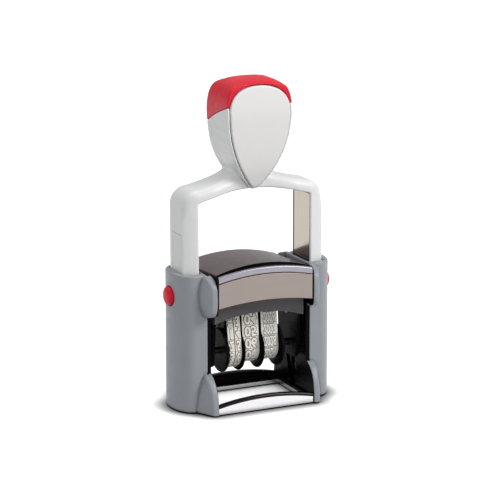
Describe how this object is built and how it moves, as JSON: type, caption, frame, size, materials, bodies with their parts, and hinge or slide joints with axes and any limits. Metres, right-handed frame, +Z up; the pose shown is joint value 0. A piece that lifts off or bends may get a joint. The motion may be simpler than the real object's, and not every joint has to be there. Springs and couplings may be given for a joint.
{
  "type": "self-inking date stamp",
  "caption": "Self-inking date stamp: a teardrop knob on a sprung yoke presses down between two columns and turns a dater block with number bands over onto the paper.",
  "frame": {"origin": "middle of the footprint on the table, at the foot of the stamp", "axes": "+Z up through the knob, +X from the left column to the right column seen from the front, -Y to the front where the number bands are read"},
  "size_m": [0.0776, 0.0416, 0.143],
  "materials": {
    "grey_plastic": "satin moulded",
    "white_plastic": "soft gloss moulded",
    "red_plastic": "soft gloss moulded",
    "black_plastic": "satin moulded",
    "carrier_plastic": "satin moulded",
    "gloss_cover": "smoked high gloss",
    "satin_panel": "satin polished metal",
    "bright_trim": "satin rounded edge",
    "chrome": "polished",
    "steel": "polished",
    "band_rubber": "moulded, pale",
    "die_rubber": "moulded relief",
    "felt": "inked felt",
    "foot_rubber": "matt"
  },
  "bodies": {
    "housing": {"right_column": "grey_plastic", "left_column": "grey_plastic", "right_cheek": "black_plastic", "left_cheek": "black_plastic", "right_foot_pad": "foot_rubber", "left_foot_pad": "foot_rubber", "right_spring_rod": "steel", "left_spring_rod": "steel", "right_return_spring": "steel", "left_return_spring": "steel", "base_plate": "chrome", "front_skirt": "chrome", "rear_skirt": "chrome", "front_lip": "black_plastic", "rear_lip": "black_plastic", "base_frame": "black_plastic", "front_left_screw": "steel", "front_right_screw": "steel", "rear_left_screw": "steel", "rear_right_screw": "steel", "head_frame": "black_plastic", "front_window": "satin_panel", "front_trim": "bright_trim", "rear_panel": "satin_panel", "top_cover": "gloss_cover"},
    "yoke": {"handle": "white_plastic", "right_leg_strip": "steel", "left_leg_strip": "steel", "right_leg_insert": "white_plastic", "left_leg_insert": "white_plastic", "knob_face_plate": "white_plastic", "knob_cap": "red_plastic"},
    "dater_block": {"dater_frame": "carrier_plastic", "text_plate": "die_rubber", "band_nose": "black_plastic", "wheel_axle": "steel", "right_axle_pin": "steel", "left_axle_pin": "steel", "right_follower_pin": "steel", "left_follower_pin": "steel", "day_tens_band": "band_rubber", "day_units_band": "band_rubber", "month_band": "band_rubber", "year_band": "band_rubber"},
    "day_tens_setter": {"day_tens_wheel": "black_plastic"},
    "day_units_setter": {"day_units_wheel": "black_plastic"},
    "month_setter": {"month_wheel": "black_plastic"},
    "year_setter": {"year_wheel": "black_plastic"},
    "right_lock": {"right_lock_button": "red_plastic"},
    "left_lock": {"left_lock_button": "red_plastic"},
    "cartridge": {"pad_cartridge": "black_plastic", "ink_pad": "felt"}
  },
  "joints": [
    {"name": "handle_press", "type": "slide", "parent": "housing", "child": "yoke", "axis": [0, 0, -1], "range_m": [0, 0.028], "stiffness_N_per_m": 300, "springref_m": -0.03, "deforming": ["right_return_spring", "left_return_spring"]},
    {"name": "block_turn", "type": "hinge", "parent": "yoke", "child": "dater_block", "pos_m": [0, 0, 0.0395], "axis": [-1, 0, 0], "range_deg": [0, 180]},
    {"name": "day_tens_set", "type": "hinge", "parent": "dater_block", "child": "day_tens_setter", "pos_m": [-0.012, 0, 0.0234], "axis": [1, 0, 0], "continuous": true},
    {"name": "day_units_set", "type": "hinge", "parent": "dater_block", "child": "day_units_setter", "pos_m": [-0.008, 0, 0.0234], "axis": [1, 0, 0], "continuous": true},
    {"name": "month_set", "type": "hinge", "parent": "dater_block", "child": "month_setter", "pos_m": [-0.001, 0, 0.0234], "axis": [1, 0, 0], "continuous": true},
    {"name": "year_set", "type": "hinge", "parent": "dater_block", "child": "year_setter", "pos_m": [0.008, 0, 0.0234], "axis": [1, 0, 0], "continuous": true},
    {"name": "right_lock_push", "type": "slide", "parent": "housing", "child": "right_lock", "axis": [-1, 0, 0], "range_m": [0, 0.001], "stiffness_N_per_m": 400, "springref_m": -0.003},
    {"name": "left_lock_push", "type": "slide", "parent": "housing", "child": "left_lock", "axis": [1, 0, 0], "range_m": [0, 0.001], "stiffness_N_per_m": 400, "springref_m": -0.003},
    {"name": "cartridge_draw", "type": "slide", "parent": "housing", "child": "cartridge", "axis": [0, 1, 0], "range_m": [0, 0.042]}
  ],
  "couplings": [
    {"joint": "block_turn", "follows": "handle_press", "rad_per_m": 112.2}
  ]
}
